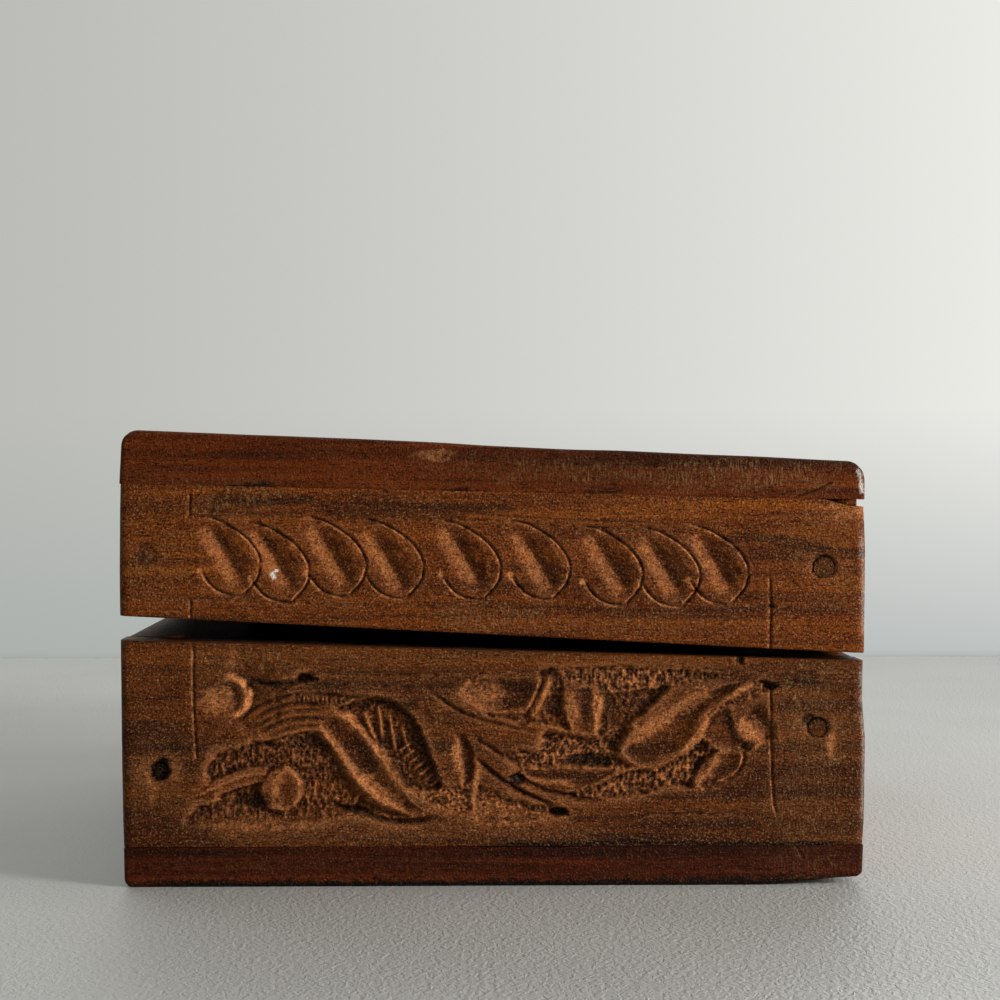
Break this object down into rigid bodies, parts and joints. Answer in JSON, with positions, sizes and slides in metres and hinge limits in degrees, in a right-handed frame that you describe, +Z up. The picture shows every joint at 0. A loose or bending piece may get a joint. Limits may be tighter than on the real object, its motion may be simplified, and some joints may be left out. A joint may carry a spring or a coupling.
{
  "type": "keepsake box",
  "caption": "Small carved hardwood keepsake box: pegged walls, bottom board, and a hinged lid with a thick top board, sawn off along a sloping line.",
  "frame": {"origin": "centre of the underside of the bottom board", "axes": "+Z up; -X is the front, where the lid opens; +X is the hinged back; -Y is the carved right-hand end; +Y is the left-hand end and the box's length"},
  "size_m": [0.1051, 0.152, 0.0626],
  "materials": {
    "wall_wood": "satin wax over hand-carved orange-brown hardwood",
    "board_wood": "satin wax over dark reddish hardwood",
    "peg_wood": "end grain, waxed",
    "hinge_brass": "dull aged brass"
  },
  "bodies": {
    "box": {"bottom_board": "board_wood", "box_right_end": "wall_wood", "box_left_end": "wall_wood", "box_front_wall": "wall_wood", "box_back_wall": "wall_wood", "box_wall_pegs": "peg_wood", "right_hinge_box_leaf": "hinge_brass", "left_hinge_box_leaf": "hinge_brass", "right_hinge_pin": "hinge_brass", "left_hinge_pin": "hinge_brass", "box_leaf_screws": "hinge_brass"},
    "lid": {"top_board": "board_wood", "lid_right_end": "wall_wood", "lid_left_end": "wall_wood", "lid_front_wall": "wall_wood", "lid_back_wall": "wall_wood", "lid_wall_pegs": "peg_wood", "right_hinge_lid_leaf": "hinge_brass", "left_hinge_lid_leaf": "hinge_brass", "lid_leaf_screws": "hinge_brass"}
  },
  "joints": [
    {"name": "lid_hinge", "type": "hinge", "parent": "box", "child": "lid", "pos_m": [0.05271, 0, 0.03135], "axis": [0, 1, 0], "range_deg": [0, 180]}
  ]
}
